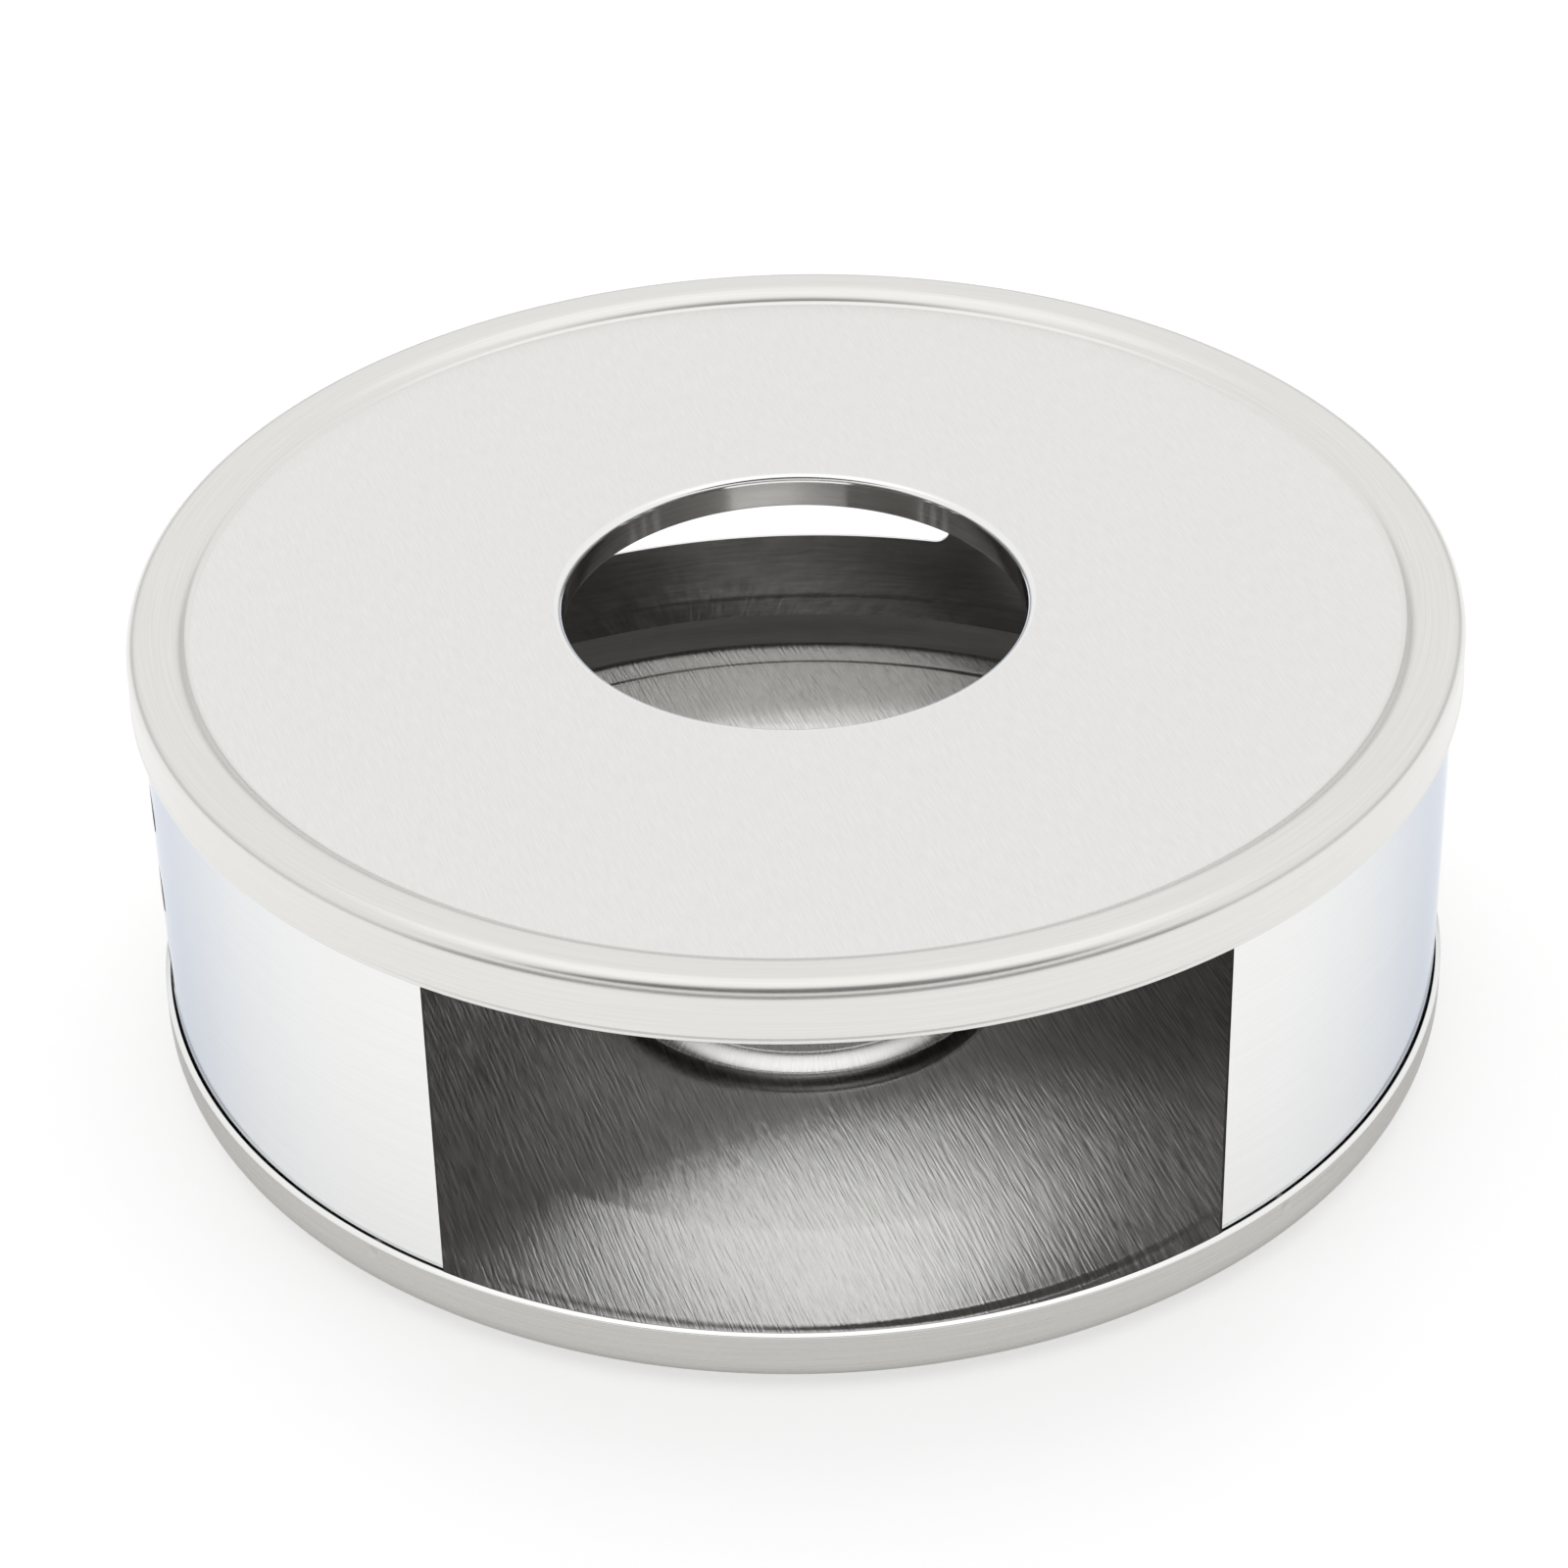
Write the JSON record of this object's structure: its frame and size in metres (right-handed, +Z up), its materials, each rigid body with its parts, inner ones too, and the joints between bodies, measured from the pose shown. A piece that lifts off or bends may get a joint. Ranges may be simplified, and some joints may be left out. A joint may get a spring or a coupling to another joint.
{
  "type": "teapot warmer",
  "caption": "Round pressed-steel teapot warmer with a wide front opening, a heat hole in its recessed lid, a rear window, side vents and a loose candle cup",
  "frame": {"origin": "on the table, under the middle of the base tray", "axes": "+Z up, -Y out of the wide front opening, +X to the right as seen from the front"},
  "size_m": [0.1502, 0.1502, 0.0535],
  "materials": {
    "satin_steel": "satin, finely brushed",
    "bright_steel": "bright annealed",
    "weld_steel": "as welded"
  },
  "bodies": {
    "warmer": {"base_tray": "satin_steel", "wall_band": "bright_steel", "tray_spot_welds": "weld_steel", "top_lid": "satin_steel", "lid_spot_welds": "weld_steel"},
    "cup": {"candle_cup": "bright_steel"}
  },
  "joints": [
    {"name": "cup_lift", "type": "slide", "parent": "warmer", "child": "cup", "axis": [0, 0, 1], "range_m": [0, 0.06]}
  ]
}
